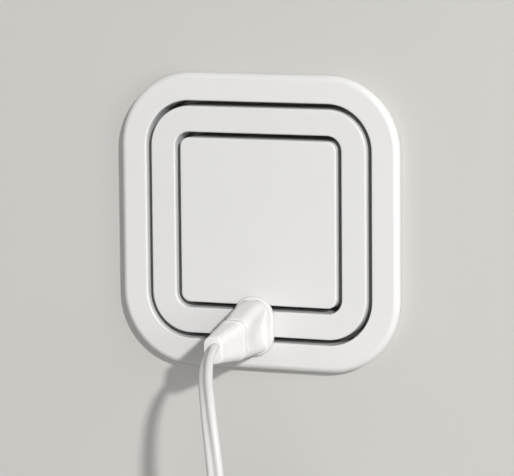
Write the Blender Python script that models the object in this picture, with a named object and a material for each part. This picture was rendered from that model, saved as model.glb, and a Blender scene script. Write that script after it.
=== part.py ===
"""Wall outlet plate with two endless square slots, and a two-blade lead plugged into it.

The plate's face carries two concentric rounded-square slots. They stand as far apart as
the two blades of a flat plug, so a plug goes in anywhere along their straight stretches.
Behind the face an insulating housing holds one springy contact rail under each slot. The
moulded plug sits in the bottom stretch, and its flat twin cord hangs down to a tied hank
that ends in a small appliance connector.

Frame: +Z up, the wall is the plane y = 0, and the plate faces -Y. The origin is the centre
of the plate on the wall. Every length below is in millimetres; MM turns it into metres.
"""

import math

import bmesh
import bpy
from mathutils import Vector

MM = 0.001
FIT = 0.3  # clearance between pieces that touch

# Plate
PLATE_HALF = 59.75  # half the plate's side
CORNER_CENTRE = 29.63  # every corner arc is centred this far from the middle, both ways
FACE_Y = -7.0
LAND_BACK_Y = -4.0  # the face pieces are 3 mm thick
INNER_SLOT = 34.63  # half the side of the inner slot's centre line
BLADE_PITCH = 12.7
OUTER_SLOT = INNER_SLOT + BLADE_PITCH
SLOT_HALF = 1.25
EDGE_ROUND = 0.6  # rounding where a face meets a slot
RIM_ROUND = 2.6  # rounding round the outside of the plate
RIM_UNDERCUT = 1.15  # the side draws in by this much towards the wall
SKIRT_IN = 57.0
SKIRT_BACK_Y = -0.2
SNAP_IN = 56.35  # the snap bead inside the skirt
LEG_LENGTH = 5.5
LEG_SIZE = (6.0, 2.0)
PANEL_LEG_AT = 24.0
CORNER_STEPS = 6

# Housing behind the face
HOUSING_Y = LAND_BACK_Y + FIT
CHANNEL_HALF = 2.2
CHANNEL_Y = 13.2
GUIDE_HALF = 1.4  # half the gap between the two slot guides of a channel
GUIDE_SEAT = 2.7  # half the width of the channel's mouth, where they sit
GUIDE_Y = 2.2
FLANGE_OUT = 56.6
FLANGE_BACK_Y = -1.6
BODY_OUT = 50.8
WALL = 1.5
WEB_Y = 16.0
MIDDLE_IN = 30.2  # half the opening of the deep middle of the rear cavity
MIDDLE_Y = -1.2
HOUSING_BACK_Y = 30.0
COVER_BACK_Y = 32.3
POST_AT = 36.0
POST_RADIUS = 4.0
CABLE_ENTRY = (9.0, 5.5)  # half the width and half the height of each one
CABLE_ENTRY_Z = 28.0

# Steel mounting frame and its wall screws
FRAME_IN = 51.1
FRAME_OUT = 55.9
FRAME_THICK = 1.3
WALL_SCREW_AT = 53.5

# Contact rails
RAIL_TOP_Y = GUIDE_Y + 0.2
RAIL_FLOOR_Y = 12.3
LEAF_GAP = 1.05  # half the gap between the leaves: half a blade and the clearance
LEAF = 0.6

# Plug
PLUG_X = -1.5
PLUG_Z = -(INNER_SLOT + OUTER_SLOT) / 2
PLUG_FACE_Y = FACE_Y - FIT
BLADE = (6.35, 1.5, 17.0)
FLANGE_HALF = (8.6, 12.1)
FLANGE_THICK = 2.1
INSERT_HALF = (4.1, 7.9)
INSERT_DEEP = 1.4
SHELL_END = 21.0
SIDE_STEPS = 6
RELIEF_END = 44.0

# Cord
CORD_WIDTH = 6.6
CORD_THICK = 3.4
# From the strain relief's tip: out of the plug, over in one wide bend, and straight down.
CORD_ROUTE = [
    (-1.5, -51.8, -44.9),
    (-1.35, -53.6, -45.05),
    (-0.72, -56.0, -45.95),
    (0.21, -61.0, -47.9),
    (1.65, -66.0, -51.0),
    (3.47, -70.5, -55.0),
    (5.65, -74.5, -60.0),
    (7.62, -77.7, -66.0),
    (9.43, -80.0, -73.0),
    (10.87, -81.3, -80.5),
    (12.0, -82.1, -88.0),
    (12.8, -82.4, -95.7),
]

# Hank: four turns of cord, each pinched at the waist and round at both ends
HANK_X = 13.0
HANK_Y = -73.2
HANK_TOP = -96.5
LANES = 3
LANE_PITCH = 3.6
LAYER_PITCH = 6.8
STRAND = 1.8  # from the middle to the innermost strand at the waist
FLARE = 28.0  # the innermost strand bends this much from the waist out to an end
LOOP = 20.0  # and this much round the end
HANK_ADD = (LANES - 1) * LANE_PITCH + CORD_THICK / 2 + FIT
LEAN = math.acos((STRAND + FLARE) / (LOOP + FLARE))
LOOP_RISE = (LOOP + FLARE) * math.sin(LEAN)
HANK_HALF_LENGTH = LOOP_RISE + LOOP + HANK_ADD
HANK_MID = HANK_TOP - HANK_HALF_LENGTH
HANK_BOTTOM = HANK_TOP - 2 * HANK_HALF_LENGTH
HANK_HALF_DEPTH = LAYER_PITCH / 2 + CORD_WIDTH / 2
TIE_HALF = 4.0

# The tail hangs behind the hank's lower end
TAIL_Y = HANK_Y + HANK_HALF_DEPTH + CORD_THICK / 2 + 0.2
TAIL_LENGTH = 17.0
CONNECTOR_RELIEF = 14.0
CONNECTOR_BODY = 23.0
PIN_PITCH = 8.6


def clear_scene():
    for obj in list(bpy.data.objects):
        bpy.data.objects.remove(obj, do_unlink=True)


def material(name, colour, roughness, metallic=0.0):
    made = bpy.data.materials.new(name)
    made.use_nodes = True
    shader = made.node_tree.nodes["Principled BSDF"]
    shader.inputs["Base Color"].default_value = (*colour, 1.0)
    shader.inputs["Roughness"].default_value = roughness
    shader.inputs["Metallic"].default_value = metallic
    return made


def add_mesh(name, bm, mat, parent=None):
    """Make an object from a mesh in millimetres, with its origin on its parent's."""
    origin = parent.location if parent else Vector()
    for vert in bm.verts:
        vert.co = vert.co * MM - origin
    bmesh.ops.recalc_face_normals(bm, faces=bm.faces)
    mesh = bpy.data.meshes.new(name)
    bm.to_mesh(mesh)
    bm.free()
    mesh.shade_smooth()
    mesh.set_sharp_from_angle(angle=math.radians(35))
    mesh.materials.append(mat)
    obj = bpy.data.objects.new(name, mesh)
    obj.parent = parent
    bpy.context.collection.objects.link(obj)
    return obj


def add_tube(name, points, radius, mat, parent=None, resolution=2):
    """A round tube of the given radius along points, with filled caps."""
    origin = parent.location if parent else Vector()
    curve = bpy.data.curves.new(name, "CURVE")
    curve.dimensions = "3D"
    curve.bevel_depth = radius * MM
    curve.bevel_resolution = resolution
    curve.use_fill_caps = True
    spline = curve.splines.new("POLY")
    spline.points.add(len(points) - 1)
    for point, place in zip(spline.points, points):
        point.co = (*(Vector(place) * MM - origin), 1.0)
    curve.materials.append(mat)
    obj = bpy.data.objects.new(name, curve)
    obj.parent = parent
    bpy.context.collection.objects.link(obj)
    return obj


def arc(centre, radius, start, end, steps):
    """Points on an arc in a plane, with angles in degrees."""
    angles = [math.radians(start + (end - start) * i / steps) for i in range(steps + 1)]
    return [(centre[0] + radius * math.cos(a), centre[1] + radius * math.sin(a)) for a in angles]


def rounded_outline(half_w, half_h, radius, steps=CORNER_STEPS):
    """A rectangle with round corners, as points around its middle."""
    points = []
    for turn, (side_w, side_h) in enumerate([(1, 1), (-1, 1), (-1, -1), (1, -1)]):
        centre = (side_w * (half_w - radius), side_h * (half_h - radius))
        points += arc(centre, radius, 90 * turn, 90 * turn + 90, steps)
    return points


def square_loop(half, y):
    """One of the plate's concentric rounded squares, at depth y."""
    radius = max(half - CORNER_CENTRE, 0.5)
    return [Vector((x, y, z)) for x, z in rounded_outline(half, half, radius)]


def upright_loop(half_x, half_z, radius, centre, y, steps=CORNER_STEPS):
    """A rounded rectangle across the Y axis, centred on (x, z)."""
    outline = rounded_outline(half_x, half_z, radius, steps)
    return [Vector((centre[0] + x, y, centre[1] + z)) for x, z in outline]


def level_loop(half_x, half_y, radius, centre, z, steps=CORNER_STEPS):
    """A rounded rectangle across the Z axis, centred on (x, y)."""
    outline = rounded_outline(half_x, half_y, radius, steps)
    return [Vector((centre[0] + x, centre[1] + y, z)) for x, y in outline]


def loft(loops, ring=False):
    """Skin a row of loops of equal length. A ring joins the last to the first; others get caps."""
    bm = bmesh.new()
    rows = [[bm.verts.new(point) for point in loop] for loop in loops]
    pairs = list(zip(rows, rows[1:] + rows[:1])) if ring else list(zip(rows, rows[1:]))
    for near, far in pairs:
        for i in range(len(near)):
            j = (i + 1) % len(near)
            bm.faces.new((near[i], near[j], far[j], far[i]))
    if not ring:
        bm.faces.new(rows[0])
        bm.faces.new(rows[-1])
    return bm


def round_loft(centre, profile, sides=16):
    """A turned piece on an axis along Y through (x, z), from (radius, y) pairs."""
    loops = []
    for radius, y in profile:
        circle = arc(centre, radius, 0, 360, sides)[:-1]
        loops.append([Vector((x, y, z)) for x, z in circle])
    return loft(loops)


def add_box(bm, centre, size):
    """Put one box of the given full size into a mesh."""
    made = bmesh.ops.create_cube(bm, size=1.0)["verts"]
    bmesh.ops.scale(bm, vec=size, verts=made)
    bmesh.ops.translate(bm, vec=centre, verts=made)


def boxes(places):
    bm = bmesh.new()
    for centre, size in places:
        add_box(bm, centre, size)
    return bm


def join(meshes):
    """Put several meshes into one, side by side."""
    whole = bmesh.new()
    for bm in meshes:
        data = bpy.data.meshes.new("joined")
        bm.to_mesh(data)
        bm.free()
        whole.from_mesh(data)
        bpy.data.meshes.remove(data)
    return whole


def boolean(obj, operation, bm, mat):
    """Add a tool mesh to a piece, or cut it out of the piece."""
    tool = add_mesh(f"tool_{obj.name}_{operation.lower()}", bm, mat, obj.parent)
    tool.hide_render = True
    tool.display_type = "WIRE"
    modifier = obj.modifiers.new(operation.title(), "BOOLEAN")
    modifier.operation = operation
    modifier.object = tool
    modifier.solver = "EXACT"


def four_sides(at):
    """The middles of the four sides of a square, with the direction along each side."""
    return [((at, 0), "z"), ((0, at), "x"), ((-at, 0), "z"), ((0, -at), "x")]


def side_boxes(at, size, y_from, y_to):
    """A box at the middle of each side: size is its length along the side and across it."""
    places = []
    for (x, z), along in four_sides(at):
        long, short = size
        full = (long, y_to - y_from, short) if along == "x" else (short, y_to - y_from, long)
        places.append(((x, (y_from + y_to) / 2, z), full))
    return boxes(places)


def corner_places(at):
    return [(at, at), (-at, at), (-at, -at), (at, -at)]


# --- The plate's face ---------------------------------------------------------------------


def slot_edge(half, side):
    """The rounded edge where a land meets a slot; side is +1 where the slot is outside."""
    start, end = (180, 90) if side < 0 else (0, 90)
    centre = (half - side * EDGE_ROUND, FACE_Y + EDGE_ROUND)
    points = arc(centre, EDGE_ROUND, -start, -end, 3)
    return points if side < 0 else points[::-1]


def outer_frame(mat):
    inner = OUTER_SLOT + SLOT_HALF
    rim = arc((PLATE_HALF - RIM_ROUND, FACE_Y + RIM_ROUND), RIM_ROUND, -90, 0, 5)
    section = [
        (inner, LAND_BACK_Y),
        *slot_edge(inner, -1),
        *rim,
        (PLATE_HALF - RIM_UNDERCUT, SKIRT_BACK_Y),
        (SKIRT_IN, SKIRT_BACK_Y),
        (SNAP_IN, SKIRT_BACK_Y - 0.5),
        (SNAP_IN, SKIRT_BACK_Y - 1.0),
        (SKIRT_IN, SKIRT_BACK_Y - 1.6),
        (SKIRT_IN, LAND_BACK_Y),
    ]
    return add_mesh("outer_frame", loft([square_loop(*p) for p in section], ring=True), mat)


def middle_ring(mat):
    inner, outer = INNER_SLOT + SLOT_HALF, OUTER_SLOT - SLOT_HALF
    section = [
        (inner, LAND_BACK_Y),
        *slot_edge(inner, -1),
        *slot_edge(outer, 1),
        (outer, LAND_BACK_Y),
    ]
    ring = add_mesh("middle_ring", loft([square_loop(*p) for p in section], ring=True), mat)
    middle = (INNER_SLOT + OUTER_SLOT) / 2
    legs = side_boxes(middle, LEG_SIZE, LAND_BACK_Y - 1.0, LAND_BACK_Y + LEG_LENGTH)
    boolean(ring, "UNION", legs, mat)
    return ring


def centre_panel(mat):
    outer = INNER_SLOT - SLOT_HALF
    section = [(outer, LAND_BACK_Y), *slot_edge(outer, 1)[::-1]]
    panel = add_mesh("centre_panel", loft([square_loop(*p) for p in section]), mat)
    legs = side_boxes(PANEL_LEG_AT, LEG_SIZE, LAND_BACK_Y - 1.0, LAND_BACK_Y + LEG_LENGTH)
    boolean(panel, "UNION", legs, mat)
    return panel


# --- The housing, the rails and the terminals ------------------------------------------------


def channel(slot):
    """The section of one channel: a wide mouth for the guides and a narrower run for the rail."""
    inward = [
        (slot - GUIDE_SEAT, HOUSING_Y),
        (slot - GUIDE_SEAT, GUIDE_Y),
        (slot - CHANNEL_HALF, GUIDE_Y),
        (slot - CHANNEL_HALF, CHANNEL_Y),
    ]
    return inward + [(2 * slot - half, y) for half, y in reversed(inward)]


def front_housing(mat):
    section = [
        *channel(INNER_SLOT),
        *channel(OUTER_SLOT),
        (FLANGE_OUT, HOUSING_Y),
        (FLANGE_OUT, FLANGE_BACK_Y),
        (BODY_OUT, FLANGE_BACK_Y),
        (BODY_OUT, HOUSING_BACK_Y),
        (BODY_OUT - WALL, HOUSING_BACK_Y),
        (BODY_OUT - WALL, WEB_Y),
        (MIDDLE_IN, WEB_Y),
        (MIDDLE_IN, MIDDLE_Y),
    ]
    housing = add_mesh("front_housing", loft([square_loop(*p) for p in section]), mat)
    post = [(POST_RADIUS, WEB_Y - 1.0), (POST_RADIUS, HOUSING_BACK_Y - FIT)]
    posts = join(round_loft(place, post) for place in corner_places(POST_AT))
    boolean(housing, "UNION", posts, mat)
    socket = (LEG_SIZE[0] + 2 * FIT, LEG_SIZE[1] + 2 * FIT)
    middle = (INNER_SLOT + OUTER_SLOT) / 2
    socket_end = LAND_BACK_Y + LEG_LENGTH + FIT
    screw_hole = [(1.55, WEB_Y + 2.0), (1.55, HOUSING_BACK_Y + 1.0)]
    countersink = [(3.15, HOUSING_Y - 0.5), (3.15, HOUSING_Y), (1.7, -2.2), (1.7, -1.0)]
    cuts = [
        side_boxes(middle, socket, HOUSING_Y - 1.0, socket_end),
        side_boxes(PANEL_LEG_AT, socket, HOUSING_Y - 1.0, socket_end),
        boxes([link_window(side, at) for side, at in LINKS]),
    ]
    cuts += [round_loft(place, screw_hole, 12) for place in corner_places(POST_AT)]
    cuts += [round_loft(place, countersink) for place, _ in four_sides(WALL_SCREW_AT)]
    boolean(housing, "DIFFERENCE", join(cuts), mat)
    return housing


def slot_guide(name, slot, side, mat):
    """A black ring along one side of a channel's mouth; a pair of them hold the rail down."""
    near = slot + side * GUIDE_HALF
    far = slot + side * (GUIDE_SEAT - FIT)
    section = [
        (near, HOUSING_Y + 0.4),
        (near + side * 0.4, HOUSING_Y),
        (far, HOUSING_Y),
        (far, GUIDE_Y - FIT),
        (near, GUIDE_Y - FIT),
    ]
    return add_mesh(name, loft([square_loop(*p) for p in section], ring=True), mat)


LINKS = [(-1, OUTER_SLOT), (1, INNER_SLOT)]  # the live rail's link is on the left
LINK_WIDTH = 6.0
LINK_THICK = 0.8
TERMINAL_X = 15.0


def link_window(side, at):
    """The window in a channel's floor that a rail's link passes through."""
    size = (LINK_THICK + 2 * FIT, WEB_Y - CHANNEL_Y + 2.0, LINK_WIDTH + 2 * FIT)
    return (side * at, (WEB_Y + CHANNEL_Y) / 2, 0.0), size


def rail(name, half, mat):
    """A contact rail: two leaves on a strip, bent into a rounded square under its slot."""
    out = LEAF_GAP + LEAF
    section = [
        (-out - 0.15, RAIL_TOP_Y),
        (-LEAF_GAP - 0.3, RAIL_TOP_Y),
        (-LEAF_GAP, RAIL_TOP_Y + 1.6),
        (-LEAF_GAP, RAIL_FLOOR_Y),
        (LEAF_GAP, RAIL_FLOOR_Y),
        (LEAF_GAP, RAIL_TOP_Y + 1.6),
        (LEAF_GAP + 0.3, RAIL_TOP_Y),
        (out + 0.15, RAIL_TOP_Y),
        (out, RAIL_TOP_Y + 1.6),
        (out, RAIL_FLOOR_Y + LEAF),
        (-out, RAIL_FLOOR_Y + LEAF),
        (-out, RAIL_TOP_Y + 1.6),
    ]
    loops = [square_loop(half + offset, y) for offset, y in section]
    return add_mesh(name, loft(loops, ring=True), mat)


def link(name, side, at, mat):
    """The brass strip from a rail, through the channel's floor, to its terminal."""
    back = WEB_Y + FIT + LINK_THICK
    foot = RAIL_FLOOR_Y + LEAF + FIT
    tab = ((side * at, (foot + back) / 2, 0.0), (LINK_THICK, back - foot, LINK_WIDTH))
    length = at - TERMINAL_X + 5.0 + LINK_THICK / 2
    centre_x = side * (at + LINK_THICK / 2 - length / 2)
    strip = ((centre_x, back - LINK_THICK / 2, 0.0), (length, LINK_THICK, LINK_WIDTH))
    piece = add_mesh(name, boxes([strip]), mat)
    boolean(piece, "UNION", boxes([tab]), mat)
    return piece


def terminal(name, side, mat):
    """A brass terminal block with a hole for the wire and one for its clamp screw."""
    front = WEB_Y + 2 * FIT + LINK_THICK
    centre = (side * TERMINAL_X, 0.0)
    loops = [upright_loop(4.5, 5.5, 1.0, centre, front + d, 2) for d in (0.0, 9.0)]
    block = add_mesh(name, loft(loops), mat)
    wire = round_loft((centre[0], -2.6), [(1.5, front + 2.0), (1.5, front + 10.0)], 12)
    screw = round_loft((centre[0], 2.4), [(1.8, front + 3.0), (1.8, front + 10.0)], 12)
    boolean(block, "DIFFERENCE", join([wire, screw]), mat)
    return block


def rear_cover(mat):
    lip = BODY_OUT - WALL - FIT
    section = [
        (lip - 2.0, HOUSING_BACK_Y + FIT),
        (lip - 2.0, HOUSING_BACK_Y - 1.5),
        (lip, HOUSING_BACK_Y - 1.5),
        (lip, HOUSING_BACK_Y + FIT),
        (BODY_OUT, HOUSING_BACK_Y + FIT),
        (BODY_OUT, COVER_BACK_Y - 0.8),
        (BODY_OUT - 0.8, COVER_BACK_Y),
    ]
    cover = add_mesh("rear_cover", loft([square_loop(*p) for p in section]), mat)
    through = (HOUSING_BACK_Y - 1.0, COVER_BACK_Y + 1.0)
    holes = [(place, 1.6) for place in corner_places(POST_AT)]
    holes += [((side * TERMINAL_X, -2.6), 2.6) for side in (-1, 1)]
    holes += [((side * TERMINAL_X, 5.4), 2.6) for side in (-1, 1)]
    cuts = [round_loft(place, [(radius, y) for y in through], 12) for place, radius in holes]
    for z in (-CABLE_ENTRY_Z, CABLE_ENTRY_Z):
        cuts.append(loft([upright_loop(*CABLE_ENTRY, 2.0, (0.0, z), y, 4) for y in through]))
    boolean(cover, "DIFFERENCE", join(cuts), mat)
    return cover


def pan_screw(name, centre, head_y, tip_y, radius, head_radius, mat):
    """A pan-head screw along Y; its head stands on head_y and its tip is at tip_y."""
    out = 1.0 if head_y > tip_y else -1.0
    profile = [
        (0.9, head_y + out * 1.0),
        (0.9, head_y + out * 2.0),
        (head_radius - 0.5, head_y + out * 2.0),
        (head_radius, head_y + out * 1.4),
        (head_radius, head_y),
        (radius, head_y),
        (radius, tip_y + out * 1.0),
        (0.5, tip_y),
    ]
    return add_mesh(name, round_loft(centre, profile, 12), mat)


def wall_screw(name, centre, mat):
    """A countersunk screw through the housing's flange and the steel frame, into the wall box."""
    profile = [(0.9, -2.6), (0.9, -3.65), (2.8, -3.65), (1.35, -2.0), (1.35, 16.5), (0.4, 18.5)]
    return add_mesh(name, round_loft(centre, profile, 12), mat)


def mounting_frame(mat):
    loops = [
        square_loop(half, y)
        for half, y in [
            (FRAME_IN, -FRAME_THICK),
            (FRAME_OUT, -FRAME_THICK),
            (FRAME_OUT, 0.0),
            (FRAME_IN, 0.0),
        ]
    ]
    frame = add_mesh("mounting_frame", loft(loops, ring=True), mat)
    hole = [(1.65, -FRAME_THICK - 1.0), (1.65, 1.0)]
    holes = join(round_loft(place, hole, 12) for place, _ in four_sides(WALL_SCREW_AT))
    boolean(frame, "DIFFERENCE", holes, mat)
    return frame


# --- The plug ----------------------------------------------------------------------------------


def plug_outline(half_x, half_z, radius, scoop):
    """A rectangle with round corners; its long sides are hollowed by scoop at their middle."""
    outline = rounded_outline(half_x, half_z, radius)
    reach = half_z - radius
    down = [(-half_x, reach - 2 * reach * i / SIDE_STEPS) for i in range(1, SIDE_STEPS)]
    half_way = len(outline) // 2
    points = outline[:half_way] + down + outline[half_way:] + [(-x, -z) for x, z in down]
    return [(x - scoop * x / half_x * (1 - (z / half_z) ** 2) ** 2, z) for x, z in points]


def plug_loop(distance, half_x, half_z, radius, drop, scoop=0.0):
    """A section of the plug, this far out from its face and this much below its blades' middle."""
    outline = plug_outline(half_x, half_z, radius, scoop)
    y = PLUG_FACE_Y - distance
    return [Vector((PLUG_X + x, y, PLUG_Z - drop + z)) for x, z in outline]


def plug_shell(mat, plug):
    """The moulded plug: a flange on the wall plate, then a body with a hollow on either side."""
    half_x, half_z = FLANGE_HALF
    outside = [
        (0.0, half_x - 0.3, half_z - 0.3, half_x - 0.6, 1.0),
        (0.3, half_x, half_z, half_x - 0.3, 1.0),
        (FLANGE_THICK - 0.5, half_x, half_z, half_x - 0.3, 1.0),
        (FLANGE_THICK, half_x - 0.5, half_z - 0.5, half_x - 0.8, 1.0),
        (FLANGE_THICK + 0.2, 6.9, 10.9, 5.0, 1.03, 1.4),
        (FLANGE_THICK + 1.1, 6.5, 10.6, 4.4, 1.08, 2.3),
        (6.0, 6.3, 10.3, 4.2, 1.25, 2.1),
        (10.0, 6.1, 9.8, 3.9, 1.6, 1.6),
        (16.0, 5.8, 8.9, 3.7, 2.4, 0.6),
        (SHELL_END, 5.3, 7.9, 3.5, 3.1, 0.1),
    ]
    hollow = INSERT_DEEP + FIT
    half_x, half_z = (half + FIT for half in INSERT_HALF)
    inside = [
        (SHELL_END, 2.2, 3.5, 1.2, 3.1),
        (10.0, 2.3, 6.6, 1.2, 0.3),
        (6.5, 2.3, 7.4, 1.2, 0.0),
        (hollow, 2.3, 7.4, 1.2, 0.0),
        (hollow, half_x, half_z, 1.2, 0.0),
        (0.0, half_x, half_z, 1.2, 0.0),
    ]
    loops = [plug_loop(*section) for section in outside + inside]
    return add_mesh("plug_shell", loft(loops, ring=True), mat, plug)


def strain_relief(mat, plug):
    """The collar and the flexible cone behind it; its fine ribs are finished later."""
    outside = [
        (SHELL_END + FIT, 5.2, 7.5, 3.6, 3.2),
        (SHELL_END + 0.9, 5.7, 8.05, 3.9, 3.2),
        (SHELL_END + 3.6, 5.7, 8.05, 3.9, 3.2),
        (SHELL_END + 4.2, 5.3, 7.6, 3.8, 3.25),
        (RELIEF_END - 0.5, 3.9, 5.4, 3.3, 3.9),
        (RELIEF_END, 3.5, 5.0, 3.1, 3.9),
    ]
    inside = [
        (RELIEF_END, 1.7, 3.2, 0.8, 3.9),
        (SHELL_END + FIT, 1.7, 3.2, 0.8, 3.15),
    ]
    loops = [plug_loop(*section) for section in outside + inside]
    return add_mesh("strain_relief", loft(loops, ring=True), mat, plug)


def plug_insert(mat, plug):
    """The hard bridge that holds the blades, flush in the plug's face."""
    loops = [plug_loop(d, *INSERT_HALF, 0.9, 0.0) for d in (0.0, INSERT_DEEP)]
    insert = add_mesh("plug_insert", loft(loops), mat, plug)
    size = (BLADE[0] + 2 * FIT, 8.0, BLADE[1] + 2 * FIT)
    holes = [((PLUG_X, PLUG_FACE_Y - 3.0, z), size) for z in (-INNER_SLOT, -OUTER_SLOT)]
    boolean(insert, "DIFFERENCE", boxes(holes), mat)
    return insert


def blade(name, z, inward, mat, plug):
    """A flat blade with a hole near its tip and a narrow tail that leans inward behind it."""
    half_x, half_z = BLADE[0] / 2, BLADE[1] / 2
    tip_y = PLUG_FACE_Y + BLADE[2]
    sections = [
        (half_x - 1.2, 0.35, tip_y, 0.0),
        (half_x - 0.3, half_z, tip_y - 1.2, 0.0),
        (half_x, half_z, tip_y - 2.2, 0.0),
        (half_x, half_z, PLUG_FACE_Y - INSERT_DEEP + FIT, 0.0),
        (1.6, half_z, PLUG_FACE_Y - INSERT_DEEP, 0.0),
        (1.6, half_z, PLUG_FACE_Y - 6.2, 0.0),
        (1.6, 0.6, PLUG_FACE_Y - 9.4, 1.6 * inward),
    ]
    loops = [
        upright_loop(hx, hz, 0.2, (PLUG_X, z + shift), y, 1) for hx, hz, y, shift in sections
    ]
    piece = add_mesh(name, loft(loops), mat, plug)
    hole = bmesh.new()
    bmesh.ops.create_cone(
        hole, cap_ends=True, segments=16, radius1=1.6, radius2=1.6, depth=6.0
    )
    bmesh.ops.translate(hole, vec=(PLUG_X, tip_y - 4.0, z), verts=hole.verts)
    boolean(piece, "DIFFERENCE", hole, mat)
    return piece


def plug_wire(name, side, mat, plug):
    """An insulated core from a blade's tail to the cord, inside the plug."""
    stations = [(9.8, 0.0, 4.75), (14.0, 1.2, 3.2), (SHELL_END, 3.15, 1.6)]
    stations += [(32.0, 3.5, 1.5), (RELIEF_END - 0.4, 3.88, 1.5)]
    points = [
        (PLUG_X, PLUG_FACE_Y - distance, PLUG_Z - drop + side * apart)
        for distance, drop, apart in stations
    ]
    return add_tube(name, points, 1.1, mat, plug)


# --- The cord, its hank and the connector --------------------------------------------------------


def smooth_route(points, step):
    """A smooth curve through the points, as points about step apart."""
    knots = [Vector(p) for p in points]
    knots = [2 * knots[0] - knots[1], *knots, 2 * knots[-1] - knots[-2]]
    fine = []
    for a, b, c, d in zip(knots, knots[1:], knots[2:], knots[3:]):
        for i in range(12):
            t = i / 12
            pull = (c - a) * t + (2 * a - 5 * b + 4 * c - d) * t**2 + (3 * b - a - 3 * c + d) * t**3
            fine.append(b + pull / 2)
    fine.append(knots[-2])
    kept = [fine[0], fine[3]]
    for point in fine[4:-1]:
        far_enough = (point - kept[-1]).length >= step
        if far_enough and (point - fine[-1]).length >= step / 2:
            kept.append(point)
    return kept + [fine[-1]]


def cord_hank(mat, plug):
    """The tied hank's outer shape: two round ends with a waist between them."""
    lean = math.degrees(LEAN)
    end, flare = LOOP + HANK_ADD, FLARE - HANK_ADD
    side = STRAND + FLARE
    outline = arc((0.0, LOOP_RISE), end, -lean, 180 + lean, 18)
    outline += arc((-side, 0.0), flare, lean, -lean, 8)[1:-1]
    outline += arc((0.0, -LOOP_RISE), end, 180 - lean, 360 + lean, 18)
    outline += arc((side, 0.0), flare, 180 + lean, 180 - lean, 8)[1:-1]
    loops = [
        [Vector((HANK_X + x, HANK_Y + depth, HANK_MID + z)) for x, z in outline]
        for depth in (-HANK_HALF_DEPTH, HANK_HALF_DEPTH)
    ]
    return add_mesh("cord_hank", loft(loops), mat, plug)


def hank_tie(mat, plug):
    """A flat band round the waist of the hank."""
    flare = FLARE - HANK_ADD
    half_x = STRAND + FLARE - math.sqrt(flare**2 - TIE_HALF**2) + 2 * FIT
    half_y = HANK_HALF_DEPTH + FIT
    thick = 1.2
    loops = [
        level_loop(half_x + add, half_y + add, 0.5 + add, (HANK_X, HANK_Y), HANK_MID + rise)
        for add, rise in [(0, -TIE_HALF), (thick, -TIE_HALF), (thick, TIE_HALF), (0, TIE_HALF)]
    ]
    return add_mesh("hank_tie", loft(loops, ring=True), mat, plug)


def connector(body_mat, contact_mat, plug):
    """The two-pole connector that hangs below the hank, with its strain relief and contacts."""
    centre = (HANK_X, TAIL_Y)
    top = HANK_BOTTOM - FIT - TAIL_LENGTH - FIT
    relief = [(3.9, 2.6, 0.0), (4.6, 3.4, 1.0), (6.6, 4.4, CONNECTOR_RELIEF)]
    loops = [level_loop(hx, hy, hy - 0.4, centre, top - down, 4) for hx, hy, down in relief]
    add_mesh("connector_relief", loft(loops), body_mat, plug)
    start = top - CONNECTOR_RELIEF - FIT
    end = start - CONNECTOR_BODY
    grip = [(8.2, 4.8, 0.0), (9.6, 5.6, 1.6), (10.0, 5.75, 8.0), (9.7, 5.6, 12.0)]
    grip += [(9.4, 5.3, 13.0), (9.4, 5.3, CONNECTOR_BODY - 0.5), (9.0, 4.9, CONNECTOR_BODY)]
    loops = [level_loop(hx, hy, hy - 0.4, centre, start - down, 4) for hx, hy, down in grip]
    body = add_mesh("connector_body", loft(loops), body_mat, plug)
    bores = bmesh.new()
    for side in (-1, 1):
        made = bmesh.ops.create_cone(
            bores, cap_ends=True, segments=16, radius1=2.1, radius2=2.1, depth=18.0
        )["verts"]
        place = (HANK_X + side * PIN_PITCH / 2, TAIL_Y, end + 7.0)
        bmesh.ops.translate(bores, vec=place, verts=made)
    boolean(body, "DIFFERENCE", bores, body_mat)
    for side, name in ((-1, "connector_contact_live"), (1, "connector_contact_neutral")):
        place = (HANK_X + side * PIN_PITCH / 2, TAIL_Y)
        loops = [
            level_loop(radius, radius, radius - 0.01, place, z, 3)
            for radius, z in [(1.2, end + 1.2), (1.75, end + 1.2), (1.75, end + 14.0), (1.2, end + 14.0)]
        ]
        add_mesh(name, loft(loops, ring=True), contact_mat, plug)


def cords(mat, plug):
    """The stretches of cord that aren't wound up: plug to hank, and hank to connector."""
    radius = CORD_WIDTH / 2
    add_tube("cord", smooth_route(CORD_ROUTE, 2.2 * CORD_WIDTH), radius, mat, plug)
    start = Vector((HANK_X, TAIL_Y, HANK_BOTTOM - FIT))
    tail = [start - Vector((0, 0, TAIL_LENGTH * i / 2)) for i in range(3)]
    add_tube("cord_tail", tail, radius, mat, plug)


def build_outlet(face, dark, steel, brass):
    outer_frame(face)
    middle_ring(face)
    centre_panel(face)
    front_housing(dark)
    rear_cover(dark)
    mounting_frame(steel)
    for name, half, (side, at) in zip(("live", "neutral"), (OUTER_SLOT, INNER_SLOT), LINKS):
        rail(f"{name}_rail", half, brass)
        slot_guide(f"{name}_guide_outer", half, 1, dark)
        slot_guide(f"{name}_guide_inner", half, -1, dark)
        link(f"{name}_link", side, at, brass)
        terminal(f"{name}_terminal", side, brass)
        front = WEB_Y + 2 * FIT + LINK_THICK
        centre = (side * TERMINAL_X, 2.4)
        head = front + 9.0 + FIT
        pan_screw(f"{name}_clamp_screw", centre, head, front + 3.4, 1.4, 2.4, steel)
    for i, place in enumerate(corner_places(POST_AT), 1):
        pan_screw(f"cover_screw_{i}", place, COVER_BACK_Y + FIT, WEB_Y + 3.0, 1.2, 2.75, steel)
    for name, (place, _) in zip(("right", "top", "left", "bottom"), four_sides(WALL_SCREW_AT)):
        wall_screw(f"wall_screw_{name}", place, steel)


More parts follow.
